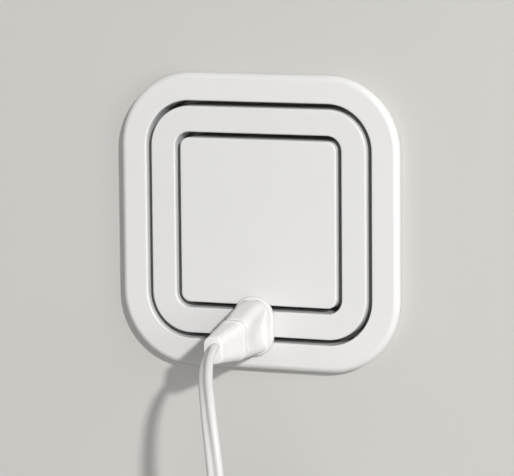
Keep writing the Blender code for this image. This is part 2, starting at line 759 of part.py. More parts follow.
def build_lead(gloss, relief, cord_mat, inner, nickel, plug):
    plug_shell(gloss, plug)
    strain_relief(relief, plug)
    plug_insert(inner, plug)
    blade("blade_neutral", -INNER_SLOT, -1, nickel, plug)
    blade("blade_live", -OUTER_SLOT, 1, nickel, plug)
    plug_wire("plug_wire_neutral", 1, inner, plug)
    plug_wire("plug_wire_live", -1, inner, plug)
    cords(cord_mat, plug)
    cord_hank(cord_mat, plug)
    hank_tie(inner, plug)
    connector(gloss, nickel, plug)


def main():
    clear_scene()
    face = material("face_polycarbonate", (0.74, 0.73, 0.70), 0.45)
    dark = material("housing_thermoplastic", (0.03, 0.03, 0.033), 0.55)
    steel = material("zinc_steel", (0.62, 0.63, 0.64), 0.35, 1.0)
    brass = material("brass", (0.78, 0.60, 0.30), 0.3, 1.0)
    gloss = material("plug_pvc", (0.86, 0.83, 0.81), 0.3)
    relief = material("relief_pvc", (0.86, 0.84, 0.82), 0.4)
    cord_mat = material("cord_pvc", (0.86, 0.85, 0.82), 0.4)
    inner = material("insert_nylon", (0.70, 0.68, 0.64), 0.5)
    nickel = material("nickel", (0.70, 0.69, 0.66), 0.25, 1.0)
    build_outlet(face, dark, steel, brass)
    plug = bpy.data.objects.new("plug_axis", None)
    plug.location = Vector((PLUG_X, PLUG_FACE_Y, PLUG_Z)) * MM
    bpy.context.collection.objects.link(plug)
    build_lead(gloss, relief, cord_mat, inner, nickel, plug)


main()
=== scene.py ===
"""Looks for the wall outlet plate with two endless slots and the lead plugged into it.

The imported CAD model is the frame. Every shown surface is either a finer piece that replaces
its CAD node or the CAD node itself with a better material. Lengths are in metres; MM keeps
small ones readable. +Z is up, the wall is the plane y = 0 and the plate faces -Y.
"""

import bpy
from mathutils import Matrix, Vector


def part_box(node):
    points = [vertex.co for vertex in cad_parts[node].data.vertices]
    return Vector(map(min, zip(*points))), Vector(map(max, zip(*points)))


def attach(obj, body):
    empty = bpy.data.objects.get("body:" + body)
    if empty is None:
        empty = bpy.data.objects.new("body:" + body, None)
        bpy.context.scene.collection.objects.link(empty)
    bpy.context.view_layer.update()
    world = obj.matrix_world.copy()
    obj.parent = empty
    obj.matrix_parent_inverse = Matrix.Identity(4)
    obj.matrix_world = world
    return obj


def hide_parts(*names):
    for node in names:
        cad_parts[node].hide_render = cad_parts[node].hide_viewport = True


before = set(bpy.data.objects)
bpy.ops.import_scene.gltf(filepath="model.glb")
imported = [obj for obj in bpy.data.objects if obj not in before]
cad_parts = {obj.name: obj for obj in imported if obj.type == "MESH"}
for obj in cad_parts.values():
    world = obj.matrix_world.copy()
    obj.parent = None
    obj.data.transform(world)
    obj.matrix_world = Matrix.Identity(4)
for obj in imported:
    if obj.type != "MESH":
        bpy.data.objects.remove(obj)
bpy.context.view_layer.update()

import math

import bmesh
import bpy
from mathutils import Matrix, Vector

MM = 0.001

# Plate, from the frame's own pieces
PLATE_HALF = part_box("outer_frame")[1].x
FACE_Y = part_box("outer_frame")[0].y
PANEL_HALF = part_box("centre_panel")[1].x
RING_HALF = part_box("middle_ring")[1].x
LEG_BACK_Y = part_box("middle_ring")[1].y
CORNER_CENTRE = 29.63 * MM  # the plate's rings share their corners' centres
SHARPEST_CORNER = 0.4 * MM
SLOT_WIDTH = 2.5 * MM
SLOT_LIP = 0.15 * MM  # the finished edges draw each side of a slot in by this much
LAND_BACK_Y = FACE_Y + 3.0 * MM
EDGE_ROUND = 0.7 * MM
RIM_ROUND = 2.6 * MM
WALL_SCREW_AT = 53.5 * MM
POST_AT = 36.0 * MM
RIM_UNDERCUT = 1.15 * MM
SKIRT_BACK_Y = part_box("outer_frame")[1].y
SKIRT_INNER = 57.0 * MM
PANEL_LEGS_AT = 24.0 * MM
INNER_SLOT = PANEL_HALF + SLOT_WIDTH / 2
OUTER_SLOT = RING_HALF + SLOT_WIDTH / 2

# Behind the face
HOUSING_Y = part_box("front_housing")[0].y
HOUSING_BACK_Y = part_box("front_housing")[1].y
FLANGE_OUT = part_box("front_housing")[1].x
FLANGE_BACK_Y = -1.6 * MM
BODY_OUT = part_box("rear_cover")[1].x
COVER_BACK_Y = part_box("rear_cover")[1].y
GUIDE_HALF = 1.4 * MM
GUIDE_SEAT = 2.7 * MM
GUIDE_Y = 2.2 * MM
GUIDE_THROAT = 0.92 * MM  # half the gap that a slot's guides narrow to before the rail
CHANNEL_HALF = 2.2 * MM
CHANNEL_Y = 13.2 * MM
WEB_Y = 16.0 * MM
MIDDLE_IN = 30.2 * MM  # half the opening of the deep middle of the rear cavity
MIDDLE_Y = -1.2 * MM
WALL_THICK = 1.5 * MM
FIT = 0.3 * MM

# Plug, from its blades
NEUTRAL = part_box("blade_neutral")
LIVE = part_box("blade_live")
PLUG_X = (NEUTRAL[0].x + NEUTRAL[1].x) / 2
PLUG_Z = -(INNER_SLOT + OUTER_SLOT) / 2
PLUG_FACE_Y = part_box("plug_shell")[1].y
FLANGE_HALF = (8.6, 12.1)  # this and the next two in millimetres
FLANGE_THICK = 2.1
FLANGE_DISH = 0.45
SIDE_STEPS = 16
QUARTER = [math.radians(22.5 * i) for i in range(5)]

# Cord
LOBE = 1.7 * MM
LOBE_APART = 1.6 * MM
LOBE_SWEEP = 118  # degrees each way that a lobe's round outline goes before the crease

# Hank: four turns, each pinched at the waist and round at both ends
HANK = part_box("cord_hank")
HANK_X = (HANK[0].x + HANK[1].x) / 2
HANK_Y = (HANK[0].y + HANK[1].y) / 2
HANK_MID = (HANK[0].z + HANK[1].z) / 2
LANE_PITCH = 3.6 * MM
LAYER_PITCH = 6.8 * MM
STRAND = 1.8 * MM
FLARE = 28.0 * MM
LOOP = 20.0 * MM
LEAN = math.acos((STRAND + FLARE) / (LOOP + FLARE))  # from the waist to the flare's end
LOOP_RISE = (LOOP + FLARE) * math.sin(LEAN)
HANK_TURNS = 4
TURN_STEPS = 96
PIN_PITCH = 8.6 * MM

# The lead's route from the plug to the hank's waist, in millimetres, as in the CAD, each
# point with the direction from one lobe of the twin cord to the other.
LEAD = [
    ((-1.5, -49.0, -44.9), (0.62, -0.05, 0.78)),
    ((-1.5, -51.8, -44.9), (0.62, -0.05, 0.78)),
    ((-1.35, -53.6, -45.05), (0.64, -0.08, 0.76)),
    ((-0.72, -56.0, -45.95), (0.66, -0.11, 0.74)),
    ((0.21, -61.0, -47.9), (0.73, -0.17, 0.67)),
    ((1.65, -66.0, -51.0), (0.78, -0.18, 0.60)),
    ((3.47, -70.5, -55.0), (0.81, -0.20, 0.55)),
    ((5.65, -74.5, -60.0), (0.86, -0.22, 0.47)),
    ((7.62, -77.7, -66.0), (0.93, -0.22, 0.30)),
    ((9.43, -80.0, -73.0), (0.97, -0.16, 0.18)),
    ((10.87, -81.3, -80.5), (0.99, -0.06, 0.12)),
    ((12.0, -82.1, -88.0), (0.99, 0.0, 0.12)),
    ((12.8, -82.4, -96.0), (1.0, 0.04, 0.05)),
    ((13.1, -82.4, -104.0), (0.99, 0.12, 0.0)),
    ((13.1, -81.9, -112.0), (0.95, 0.30, 0.0)),
    ((12.9, -80.8, -121.0), (0.85, 0.52, 0.0)),
    ((12.5, -79.2, -131.0), (0.60, 0.80, 0.0)),
    ((12.0, -77.7, -141.0), (0.25, 0.97, 0.0)),
    ((11.5, -76.9, -151.0), (0.0, 1.0, 0.0)),
]
# And from the waist down behind the hank's lower end to the connector.
TAIL_ROUTE = [
    ((11.6, -69.7, -176.0), (0.05, 1.0, 0.0)),
    ((12.5, -69.2, -186.0), (-0.35, 0.94, 0.0)),
    ((12.9, -67.6, -196.0), (-0.80, 0.60, 0.0)),
    ((13.0, -65.6, -206.0), (-1.0, 0.15, 0.0)),
    ((13.0, -64.7, -216.0), (-1.0, 0.0, 0.0)),
    ((13.0, -64.6, -226.0), (-1.0, 0.0, 0.0)),
    ((13.0, -64.6, -236.0), (-1.0, 0.0, 0.0)),
    ((13.0, -64.6, -249.0), (-1.0, 0.0, 0.0)),
]


# --- Node materials -------------------------------------------------------------------------


class Nodes:
    """Short calls for building one material's nodes."""

    def __init__(self, name):
        self.material = bpy.data.materials.new(name)
        self.material.use_nodes = True
        self.tree = self.material.node_tree
        self.shader = self.tree.nodes["Principled BSDF"]
        self.coords = self.tree.nodes.new("ShaderNodeTexCoord").outputs["Object"]

    def add(self, kind, **inputs):
        node = self.tree.nodes.new(kind)
        for key, value in inputs.items():
            self.put(node.inputs[key.replace("_", " ")], value)
        return node

    def put(self, socket, value):
        if isinstance(value, bpy.types.NodeSocket):
            self.tree.links.new(value, socket)
        else:
            socket.default_value = value

    def noise(self, scale, detail=3.0, roughness=0.5, stretch=(1, 1, 1)):
        mapping = self.add("ShaderNodeMapping", Vector=self.coords, Scale=stretch)
        return self.add(
            "ShaderNodeTexNoise",
            Vector=mapping.outputs["Vector"],
            Scale=scale,
            Detail=detail,
            Roughness=roughness,
        ).outputs["Fac"]

    def spread(self, value, low, high):
        """Map a noise value, which stays near a half, to a range."""
        node = self.add("ShaderNodeMapRange", Value=value)
        node.inputs["From Min"].default_value = 0.3
        node.inputs["From Max"].default_value = 0.7
        node.inputs["To Min"].default_value = low
        node.inputs["To Max"].default_value = high
        return node.outputs["Result"]

    def tint(self, value, low, high):
        """Mix two colours by a noise value."""
        node = self.tree.nodes.new("ShaderNodeMix")
        node.data_type = "RGBA"
        self.put(node.inputs[0], self.spread(value, 0.0, 1.0))
        node.inputs[6].default_value = (*low, 1.0)
        node.inputs[7].default_value = (*high, 1.0)
        return node.outputs[2]

    def bump(self, height, depth, normal=None):
        node = self.add("ShaderNodeBump", Height=height, Strength=1.0, Distance=depth)
        if normal is not None:
            self.put(node.inputs["Normal"], normal)
        return node.outputs["Normal"]

    def finish(self, **inputs):
        for key, value in inputs.items():
            self.put(self.shader.inputs[key.replace("_", " ")], value)
        return self.material


def moulded(name, colour, roughness, grain=0.008 * MM, wander=0.012, **extra):
    """Moulded plastic: a fine spark-eroded grain, faint waves and a slightly uneven gloss."""
    nodes = Nodes(name)
    cloud = nodes.noise(18.0, 2.0)
    low = tuple(c * (1 - wander) for c in colour)
    high = tuple(min(c * (1 + wander), 1.0) for c in colour)
    waves = nodes.bump(nodes.noise(45.0, 1.0), 0.02 * MM)
    fine = nodes.bump(nodes.noise(2600.0, 2.0), grain, waves)
    gloss = nodes.spread(nodes.noise(120.0, 4.0), roughness - 0.03, roughness + 0.03)
    return nodes.finish(
        Base_Color=nodes.tint(cloud, low, high), Roughness=gloss, Normal=fine, **extra
    )


def metal(name, colour, roughness, stretch, depth=0.004 * MM):
    """Rolled strip or plated steel: fine lines along one direction and a mottled gloss."""
    nodes = Nodes(name)
    lines = nodes.noise(900.0, 3.0, 0.6, stretch)
    mottle = nodes.noise(160.0, 4.0)
    low = tuple(c * 0.86 for c in colour)
    return nodes.finish(
        Base_Color=nodes.tint(mottle, low, colour),
        Metallic=1.0,
        Roughness=nodes.spread(lines, roughness - 0.07, roughness + 0.09),
        Normal=nodes.bump(lines, depth),
    )


def wall_with_painted_glow():
    """The wall's emulsion paint, which also glows a little: painted light that lifts the wall and the
    shadows on it, as a separate backdrop lamp would.

    It can't be seen from behind, so the plate's back shows.
    """
    nodes = Nodes("wall_paint_painted_glow")
    nodes.finish(Base_Color=(0.49, 0.484, 0.462, 1.0), Roughness=0.85)
    # Painted light: a fixed glow that lifts the wall and its shadows, though the wall is no lamp.
    nodes.finish(Emission_Color=(0.605, 0.597, 0.570, 1.0), Emission_Strength=0.16)
    nodes.shader.inputs["Specular IOR Level"].default_value = 0.2
    nodes.put(nodes.shader.inputs["Normal"], nodes.bump(nodes.noise(700.0, 3.0), 0.01 * MM))
    clear = nodes.tree.nodes.new("ShaderNodeBsdfTransparent")
    choose = nodes.tree.nodes.new("ShaderNodeMixShader")
    side = nodes.tree.nodes.new("ShaderNodeNewGeometry")
    output = nodes.tree.nodes["Material Output"]
    nodes.put(choose.inputs[0], side.outputs["Backfacing"])
    nodes.put(choose.inputs[1], nodes.shader.outputs[0])
    nodes.put(choose.inputs[2], clear.outputs[0])
    nodes.put(output.inputs["Surface"], choose.outputs[0])
    return nodes.material


FACE = moulded("face_polycarbonate", (0.745, 0.738, 0.728), 0.38)
# The outer frame's plastic is a lighter, glossier copy of the face's: painted light that makes the frame
# read brighter than the ring and the panel.
FRAME_FACE = moulded("frame_polycarbonate_painted_brighter", (0.765, 0.757, 0.747), 0.36)
HOUSING = moulded("housing_thermoplastic", (0.022, 0.022, 0.024), 0.55, grain=0.02 * MM)
# The slot guides' light grey, far lighter than the black housing, is painted light: it lifts the shade
# deep in the slots.
GUIDE = moulded("guide_grey_painted_slot_light", (0.55, 0.55, 0.55), 0.5, grain=0.02 * MM)
GLOSS = moulded("plug_pvc", (0.765, 0.748, 0.741), 0.40, grain=0.003 * MM)
RELIEF = moulded("relief_pvc", (0.81, 0.79, 0.78), 0.36, grain=0.004 * MM)
CORD_PVC = moulded("cord_pvc", (0.68, 0.668, 0.656), 0.46, grain=0.004 * MM)
INSERT = moulded("insert_nylon", (0.72, 0.70, 0.66), 0.45)
TIE = moulded("tie_hook_and_loop", (0.80, 0.79, 0.77), 0.8, grain=0.06 * MM)
BRASS = metal("contact_brass", (0.74, 0.55, 0.26), 0.32, (1, 0.06, 1))
TINNED = metal("tinned_bronze", (0.60, 0.585, 0.56), 0.5, (1, 0.06, 1))
NICKEL = metal("nickel", (0.66, 0.65, 0.62), 0.25, (0.06, 1, 1))
STEEL = metal("zinc_steel", (0.60, 0.61, 0.63), 0.36, (1, 1, 0.08))
CORE_BLACK = moulded("core_insulation", (0.03, 0.03, 0.03), 0.45)


# --- Mesh building --------------------------------------------------------------------------


def temporary(bm):
    mesh = bpy.data.meshes.new("temporary")
    bm.to_mesh(mesh)
    bm.free()
    piece = bpy.data.objects.new("temporary", mesh)
    bpy.context.collection.objects.link(piece)
    return piece


def carve(bm, tools):
    """Cut the tool meshes, which don't touch each other, out of a mesh."""
    body, tool = temporary(bm), temporary(join(tools))
    cut = body.modifiers.new("cut", "BOOLEAN")
    cut.operation = "DIFFERENCE"
    cut.object = tool
    shaped = body.evaluated_get(bpy.context.evaluated_depsgraph_get())
    result = bmesh.new()
    result.from_mesh(shaped.data)
    for piece in (body, tool):
        mesh = piece.data
        bpy.data.objects.remove(piece)
        bpy.data.meshes.remove(mesh)
    return result


def add_mesh(name, bm, mat, body, crease=40, weighted=True):
    """Make a smooth-shaded piece and put it on its CAD body."""
    bmesh.ops.recalc_face_normals(bm, faces=bm.faces)
    mesh = bpy.data.meshes.new(name)
    bm.to_mesh(mesh)
    bm.free()
    mesh.shade_smooth()
    mesh.set_sharp_from_angle(angle=math.radians(crease))
    mesh.materials.append(mat)
    piece = bpy.data.objects.new(name, mesh)
    bpy.context.collection.objects.link(piece)
    if weighted:
        normals = piece.modifiers.new("flat faces stay flat", "WEIGHTED_NORMAL")
        normals.keep_sharp = True
        normals.weight = 50
    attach(piece, body)
    return piece


def stand_in(piece, *nodes):
    """Let a finer piece take the place of its CAD nodes: the nodes are hidden."""
    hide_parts(*nodes)


def arc(centre, radius, start, end, steps):
    angles = [math.radians(start + (end - start) * i / steps) for i in range(steps + 1)]
    return [(centre[0] + radius * math.cos(a), centre[1] + radius * math.sin(a)) for a in angles]


def rounded_outline(half_w, half_h, radius, steps):
    points = []
    for turn, (side_w, side_h) in enumerate([(1, 1), (-1, 1), (-1, -1), (1, -1)]):
        centre = (side_w * (half_w - radius), side_h * (half_h - radius))
        points += arc(centre, radius, 90 * turn, 90 * turn + 90, steps)
    return points


def square_loop(half, y, steps=20):
    radius = max(half - CORNER_CENTRE, SHARPEST_CORNER)
    return [Vector((x, y, z)) for x, z in rounded_outline(half, half, radius, steps)]


def upright_loop(half_x, half_z, radius, centre, y, steps=10):
    outline = rounded_outline(half_x, half_z, radius, steps)
    return [Vector((centre[0] + x, y, centre[1] + z)) for x, z in outline]


def level_loop(half_x, half_y, radius, centre, z, steps=10):
    outline = rounded_outline(half_x, half_y, radius, steps)
    return [Vector((centre[0] + x, centre[1] + y, z)) for x, y in outline]


def loft(loops, ring=False):
    """Skin a row of loops. A ring joins the last loop to the first; others get flat caps."""
    bm = bmesh.new()
    rows = [[bm.verts.new(point) for point in loop] for loop in loops]
    pairs = list(zip(rows, rows[1:] + rows[:1])) if ring else list(zip(rows, rows[1:]))
    for near, far in pairs:
        for i in range(len(near)):
            j = (i + 1) % len(near)
            bm.faces.new((near[i], near[j], far[j], far[i]))
    if not ring:
        bm.faces.new(rows[0])
        bm.faces.new(rows[-1])
    return bm


def turned(centre, profile, sides=32):
    """A turned piece on an axis along Y through (x, z), from (radius, y) pairs."""
    loops = []
    for radius, y in profile:
        circle = arc(centre, radius, 0, 360, sides)[:-1]
        loops.append([Vector((x, y, z)) for x, z in circle])
    return loft(loops)


def bevelled_box(low, high, bevel):
    bm = bmesh.new()
    made = bmesh.ops.create_cube(bm, size=1.0)["verts"]
    low, high = Vector(low), Vector(high)
    bmesh.ops.scale(bm, vec=high - low, verts=made)
    bmesh.ops.translate(bm, vec=(low + high) / 2, verts=made)
    bmesh.ops.bevel(bm, geom=bm.edges[:], offset=bevel, segments=3, affect="EDGES", profile=0.5)
    return bm


def join(meshes):
    whole = bmesh.new()
    for bm in meshes:
        data = bpy.data.meshes.new("joined")
        bm.to_mesh(data)
        bm.free()
        whole.from_mesh(data)
        bpy.data.meshes.remove(data)
    return whole


def smooth_values(rows, count):
    """Rows of numbers, first the station, read off a smooth curve at evenly spread stations."""
    padded = [rows[0], *rows, rows[-1]]
    found = []
    for step in range(count + 1):
        at = rows[0][0] + (rows[-1][0] - rows[0][0]) * step / count
        index = max(i for i, row in enumerate(rows) if row[0] <= at + 1e-12)
        index = min(index, len(rows) - 2)
        a, b, c, d = padded[index : index + 4]
        span = c[0] - b[0]
        t = (at - b[0]) / span
        values = [at]
        for k in range(1, len(b)):
            rise_b = (c[k] - a[k]) / (c[0] - a[0]) * span
            rise_c = (d[k] - b[k]) / (d[0] - b[0]) * span
            h = (1 + 2 * t) * (1 - t) ** 2 * b[k] + t * (1 - t) ** 2 * rise_b
            values.append(h + t**2 * (3 - 2 * t) * c[k] + t**2 * (t - 1) * rise_c)
        found.append(values)
    return found


def four_sides(at):
    return [((at, 0), "z"), ((0, at), "x"), ((-at, 0), "z"), ((0, -at), "x")]


def corner_places(at):
    return [(at, at), (-at, at), (-at, -at), (at, -at)]


def snap_legs(at, y_to):
    """Legs at the middle of each side, behind a face piece, back to y_to."""
    legs = []
    for (x, z), along in four_sides(at):
        half = Vector((3.0, 0, 1.0)) if along == "x" else Vector((1.0, 0, 3.0))
        half *= MM
        low = Vector((x, LAND_BACK_Y - 0.8 * MM, z)) - half
        high = Vector((x, y_to, z)) + half
        legs.append(bevelled_box(low, high, 0.3 * MM))
    return legs


# --- The plate ------------------------------------------------------------------------------


def slot_edge(half, side, steps=6):
    """The rounded edge of a land; side is +1 where the slot lies outside it."""
    centre = (half - side * EDGE_ROUND, FACE_Y + EDGE_ROUND)
    points = arc(centre, EDGE_ROUND, -180 if side < 0 else 0, -90, steps)
    return points if side < 0 else points[::-1]


def face_pieces():
    """The three lands of the face: the outer frame, the ring between the slots and the panel."""
    inner = RING_HALF + SLOT_WIDTH - SLOT_LIP
    rim = arc((PLATE_HALF - RIM_ROUND, FACE_Y + RIM_ROUND), RIM_ROUND, -90, 0, 12)
    section = [
        (inner, LAND_BACK_Y),
        *slot_edge(inner, -1),
        *rim,
        (PLATE_HALF - RIM_UNDERCUT, SKIRT_BACK_Y),
        (SKIRT_INNER, SKIRT_BACK_Y),
        (SKIRT_INNER, LAND_BACK_Y),
    ]
    frame_ring = loft([square_loop(*p) for p in section], ring=True)
    stand_in(add_mesh("plate_outer_frame", frame_ring, FRAME_FACE, "outlet"), "outer_frame")

    inner, outer = PANEL_HALF + SLOT_WIDTH - SLOT_LIP, RING_HALF + SLOT_LIP
    section = [
        (inner, LAND_BACK_Y),
        *slot_edge(inner, -1),
        *slot_edge(outer, 1),
        (outer, LAND_BACK_Y),
    ]
    ring = loft([square_loop(*p) for p in section], ring=True)
    legs = snap_legs((inner + outer) / 2, LEG_BACK_Y)
    stand_in(add_mesh("plate_middle_ring", join([ring, *legs]), FACE, "outlet"), "middle_ring")

    outer = PANEL_HALF + SLOT_LIP
    section = [(outer, LAND_BACK_Y), *slot_edge(outer, 1)[::-1]]
    panel = loft([square_loop(*p) for p in section])
    legs = snap_legs(PANEL_LEGS_AT, LEG_BACK_Y)
    stand_in(add_mesh("plate_centre_panel", join([panel, *legs]), FACE, "outlet"), "centre_panel")


# --- Behind the face ------------------------------------------------------------------------


def mirrored(pairs, about):
    return pairs + [(2 * about - at, y) for at, y in reversed(pairs)]


def channel(slot):
    """A wide mouth for the slot guides, and a narrower run for the rail."""
    inward = [
        (slot - GUIDE_SEAT, HOUSING_Y),
        (slot - GUIDE_SEAT, GUIDE_Y),
        (slot - CHANNEL_HALF, GUIDE_Y),
        (slot - CHANNEL_HALF, CHANNEL_Y),
    ]
    return mirrored(inward, slot)


def housing():
    """The moulding that holds the rails, stiffened by ribs round its deep part."""
    back = HOUSING_BACK_Y
    section = [
        *channel(INNER_SLOT),
        *channel(OUTER_SLOT),
        (FLANGE_OUT, HOUSING_Y),
        (FLANGE_OUT, FLANGE_BACK_Y),
        (BODY_OUT, FLANGE_BACK_Y),
        (BODY_OUT, back - 0.3 * MM),
        (BODY_OUT - 0.3 * MM, back),
        (BODY_OUT - WALL_THICK, back),
        (BODY_OUT - WALL_THICK, WEB_Y),
        (MIDDLE_IN, WEB_Y),
        (MIDDLE_IN, MIDDLE_Y),
    ]
    parts = [loft([square_loop(*p) for p in section])]
    for (x, z), along in four_sides(BODY_OUT):
        for shift in (-26, -16, 16, 26):
            middle = Vector((x, 0, z)) + Vector((shift, 0, 0) if along == "x" else (0, 0, shift)) * MM
            half = Vector((0.6, 0, 0.6)) * MM
            low = Vector((middle.x, 1.5 * MM, middle.z)) - half
            high = Vector((middle.x, back - 1.0 * MM, middle.z)) + half
            parts.append(bevelled_box(low, high, 0.25 * MM))
    piece = add_mesh("outlet_housing", join(parts), HOUSING, "outlet")
    stand_in(piece, "front_housing")


def slot_guides():
    """Two rings in each channel's mouth, either side of its slot, that lead the blades in."""
    for pole, slot in (("live", OUTER_SLOT), ("neutral", INNER_SLOT)):
        for side, word in ((1, "outer"), (-1, "inner")):
            near = slot + side * (GUIDE_HALF - SLOT_LIP)
            far = slot + side * (GUIDE_SEAT - FIT)
            section = [
                (near, HOUSING_Y + 0.5 * MM),
                (near + side * 0.15 * MM, HOUSING_Y + 0.15 * MM),
                (near + side * 0.5 * MM, HOUSING_Y),
                (far, HOUSING_Y),
                (far, GUIDE_Y - FIT),
                (slot + side * GUIDE_THROAT, GUIDE_Y - FIT),
            ]
            ring = loft([square_loop(*p) for p in section], ring=True)
            piece = add_mesh(f"slot_lip_{pole}_{word}", ring, GUIDE, "outlet")
            stand_in(piece, f"{pole}_guide_{word}")


def steel_frame():
    """The stamped frame that bears on the wall, with its screw holes."""
    inner, outer, thick, bevel = (n * MM for n in (51.1, 55.9, 1.3, 0.2))
    section = [
        (inner, bevel - thick),
        (inner + bevel, -thick),
        (outer - bevel, -thick),
        (outer, bevel - thick),
        (outer, 0.0),
        (inner, 0.0),
    ]
    hole = [(1.65 * MM, -2 * thick), (1.65 * MM, thick)]
    holes = [turned(place, hole) for place, _ in four_sides(WALL_SCREW_AT)]
    ring = carve(loft([square_loop(*p) for p in section], ring=True), holes)
    piece = add_mesh("steel_frame", ring, STEEL, "outlet", 30)
    stand_in(piece, "mounting_frame")


def rear_cover():
    """The back, with its two cable entries, the wire holes and the holes for the cover screws."""
    lip = BODY_OUT - WALL_THICK - FIT
    front = HOUSING_BACK_Y + FIT
    inside = HOUSING_BACK_Y - 1.5 * MM
    section = [
        (lip - 2 * MM, front),
        (lip - 2 * MM, inside),
        (lip, inside),
        (lip, front),
        (BODY_OUT, front),
        (BODY_OUT, COVER_BACK_Y - 0.8 * MM),
        (BODY_OUT - 0.25 * MM, COVER_BACK_Y - 0.25 * MM),
        (BODY_OUT - 0.8 * MM, COVER_BACK_Y),
        (30.0 * MM, COVER_BACK_Y),
        (29.7 * MM, COVER_BACK_Y - 0.4 * MM),
    ]
    plate = loft([square_loop(*p) for p in section])
    through = (HOUSING_BACK_Y - 1.0 * MM, COVER_BACK_Y + 1.0 * MM)
    holes = [(place, 1.6) for place in corner_places(POST_AT)]
    holes += [((side * 15.0 * MM, z * MM), 2.6) for side in (-1, 1) for z in (-2.6, 5.4)]
    tools = [turned(place, [(radius * MM, y) for y in through], 24) for place, radius in holes]
    for z in (-28.0 * MM, 28.0 * MM):
        tools.append(loft([upright_loop(9 * MM, 5.5 * MM, 2 * MM, (0.0, z), y) for y in through]))
    piece = add_mesh("outlet_back", carve(plate, tools), HOUSING, "outlet", 30)
    stand_in(piece, "rear_cover")


def cross_loop(arm, width, centre, y):
    """A plus sign across the Y axis."""
    quarter = [(arm, width), (width, width), (width, arm)]
    points = []
    for turn in range(4):
        for a, b in quarter:
            for _ in range(turn):
                a, b = -b, a
            points.append((a, b))
    return [Vector((centre[0] + a, y, centre[1] + b)) for a, b in points]


def screw_head(centre, base_y, out, radius):
    """A pan head on base_y that rises towards out, with a cross recess."""
    profile = [(0.4 * radius, base_y - out * 0.2 * MM), (radius, base_y)]
    for i in range(9):
        a = math.radians(11.25 * i)
        profile.append((radius * math.cos(a) ** 0.6, base_y + out * (0.7 + 1.3 * math.sin(a)) * MM))
    profile[-1] = (0.1 * MM, base_y + out * 2.0 * MM)
    recess = [
        cross_loop(1.5 * MM, 0.42 * MM, centre, base_y + out * 2.3 * MM),
        cross_loop(0.9 * MM, 0.30 * MM, centre, base_y + out * 0.9 * MM),
    ]
    return carve(turned(centre, profile), [loft(recess)])


def thread(centre, start, end, root, depth, pitch, sides=16):
    """A shank with a rolled thread between two places along Y."""
    rows = round(abs(end - start) / pitch * 6)
    loops = []
    for i in range(rows + 1):
        y = start + (end - start) * i / rows
        circle = []
        for j in range(sides):
            turn = (abs(y - start) / pitch - j / sides) % 1.0
            radius = root + depth * max(0.0, 1 - abs(2 * turn - 1) * 1.6) * min(1.0, (rows - i) / 12)
            angle = 2 * math.pi * j / sides
            circle.append(
                Vector((centre[0] + radius * math.cos(angle), y, centre[1] + radius * math.sin(angle)))
            )
        loops.append(circle)
    return loft(loops)


def wall_screw(centre, radius, tip):
    """A flat head behind the outer frame, with a threaded shank into the wall box."""
    head = [(0.5 * radius, -2.9 * MM), (0.62 * radius, -3.65 * MM), (radius, -3.65 * MM)]
    head += [(1.35 * MM, -2.0 * MM), (1.1 * MM, -1.8 * MM)]
    return [turned(centre, head), thread(centre, -1.9 * MM, tip, 1.0 * MM, 0.36 * MM, 1.2 * MM)]


def pan_screw(centre, radius, tip, top):
    """A pan head with a plain shank."""
    base = top - 2.0 * MM
    shank = [(1.2 * MM, base), (1.2 * MM, tip + 1 * MM), (0.5 * MM, tip)]
    return [screw_head(centre, base, 1.0, radius), turned(centre, shank)]


def screws():
    for name in [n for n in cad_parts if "_screw" in n]:
        low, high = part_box(name)
        middle = (low + high) / 2
        centre = (middle.x, middle.z)
        radius = (high.x - low.x) / 2
        if name.startswith("wall"):
            parts = wall_screw(centre, radius, high.y)
        else:
            parts = pan_screw(centre, radius, low.y, high.y)
        piece = add_mesh(f"{name}_turned", join(parts), STEEL, "outlet", 35)
        stand_in(piece, name)


# --- The plug -------------------------------------------------------------------------------


def plug_outline(half_x, half_z, radius, scoop, steps=12):
    """A rectangle with round corners; its long sides are hollowed by scoop at their middle."""
    outline = rounded_outline(half_x, half_z, radius, steps)
    reach = half_z - radius
    down = [(-half_x, reach - 2 * reach * i / SIDE_STEPS) for i in range(1, SIDE_STEPS)]
    half_way = len(outline) // 2
    points = outline[:half_way] + down + outline[half_way:] + [(-x, -z) for x, z in down]
    return [(x - scoop * x / half_x * (1 - (z / half_z) ** 2) ** 2, z) for x, z in points]


def plug_loop(distance, half_x, half_z, radius, drop, scoop=0.0, turn=0.0):
    """A section of the plug, in millimetres; turn leans its top over to the right."""
    outline = plug_outline(half_x, half_z, radius, scoop)
    cos, sin = math.cos(turn), math.sin(turn)
    places = [(x * cos + z * sin, z * cos - x * sin) for x, z in outline]
    y = PLUG_FACE_Y - distance * MM
    return [Vector((PLUG_X + x * MM, y, PLUG_Z + (z - drop) * MM)) for x, z in places]


def plug_rim():
    """The flange's rounded edge, and its front, dished as far as the hollow in the body's side."""
    half_x, half_z = FLANGE_HALF
    rim = []
    for i in range(5):
        a = math.radians(22.5 * i)
        shrink = 0.3 * (1 - math.sin(a))
        sides = (half_x - shrink, half_z - shrink, half_x - 0.3 - shrink)
        rim.append((0.3 - 0.3 * math.cos(a), *sides, 1.0, 0.0))
    for i in range(9):
        a = math.radians(11.25 * i)
        shrink = 0.9 * (1 - math.cos(a))
        sides = (half_x - shrink, half_z - shrink, half_x - 0.3 - shrink)
        rim.append((FLANGE_THICK - 0.9 + 0.9 * math.sin(a), *sides, 1.0, 0.0))
    for i in range(1, 5):
        share = i / 4
        sides = (7.45 - 0.7 * share, 11.2 - 0.25 * share, 7.0 - 1.9 * share)
        rim.append((FLANGE_THICK - FLANGE_DISH * share**0.6, *sides, 1.0, 1.7 * share))
    return rim


